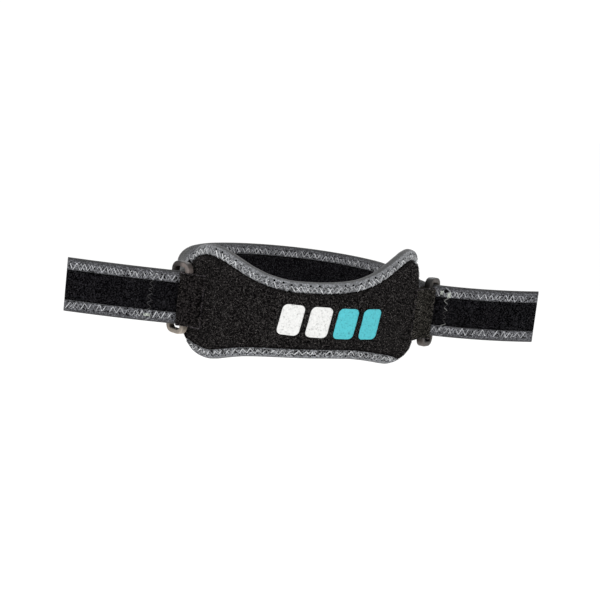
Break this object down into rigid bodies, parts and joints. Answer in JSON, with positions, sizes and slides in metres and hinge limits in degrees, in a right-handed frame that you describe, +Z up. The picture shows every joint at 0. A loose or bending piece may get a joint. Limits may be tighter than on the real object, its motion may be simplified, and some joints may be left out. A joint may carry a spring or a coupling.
{
  "type": "patella strap",
  "caption": "Padded band worn just below the kneecap: a crowned plush pad with taped edges, moulded loops at its ends, and a long strap round the back that turns through the loops.",
  "frame": {"origin": "on the axis of the round hollow for the leg, level with the middle of the pad", "axes": "+Z up along the hollow's axis, -Y out through the middle of the pad's face, +X to the right as seen from the front"},
  "size_m": [0.2255, 0.1206, 0.0594],
  "materials": {
    "pad_plush": "short-pile plush, matt",
    "edge_tape": "fine ribbed tape, matt, zigzag stitched",
    "strap_plush": "short-pile loop fabric, matt",
    "loop_plastic": "moulded, satin",
    "tab_plush": "coarse plush, matt",
    "hook_tape": "hook fastener, matt"
  },
  "bodies": {
    "root": {"pad": "pad_plush", "pad_binding_top": "edge_tape", "pad_binding_bottom": "edge_tape", "strap": "strap_plush", "strap_binding_upper": "edge_tape", "strap_binding_lower": "edge_tape", "loop_left": "loop_plastic", "tab_left": "tab_plush", "hook_patch_left": "hook_tape", "loop_right": "loop_plastic", "tab_right": "tab_plush", "hook_patch_right": "hook_tape"}
  },
  "joints": []
}
